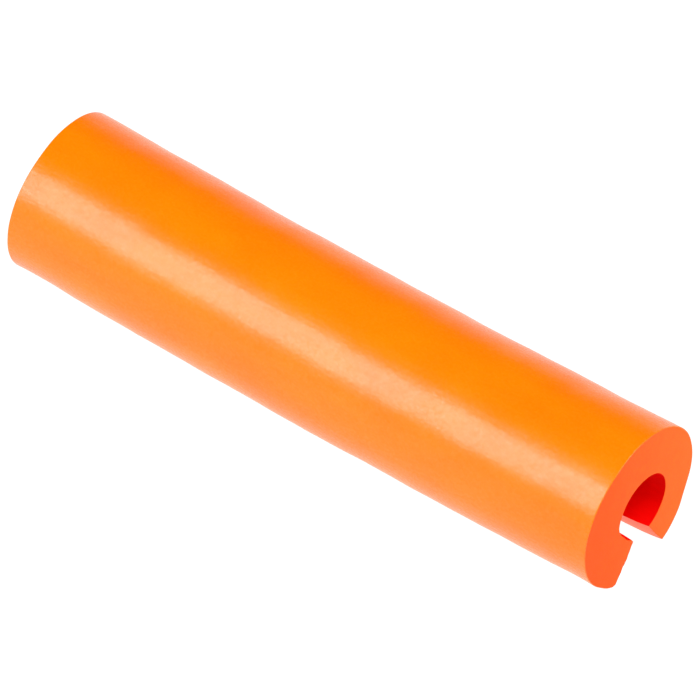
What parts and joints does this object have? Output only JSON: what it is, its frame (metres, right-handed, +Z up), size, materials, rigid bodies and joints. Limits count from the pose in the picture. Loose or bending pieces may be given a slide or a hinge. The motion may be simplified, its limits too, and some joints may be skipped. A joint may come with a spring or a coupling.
{
  "type": "push-on grip sleeve",
  "caption": "Thick round foam sleeve, open along its underside through a V-shaped mouth, that springs over a round tool shank or bar as a hand grip.",
  "frame": {"origin": "on the bore's axis, halfway along the sleeve", "axes": "+X along the bore, +Z up, with the mouth facing -Z; the bore is off the body's centre towards +Y and -Z"},
  "size_m": [0.15, 0.0366, 0.0353],
  "materials": {
    "orange_foam": "satin"
  },
  "bodies": {
    "root": {"grip_sleeve": "orange_foam"}
  },
  "joints": []
}
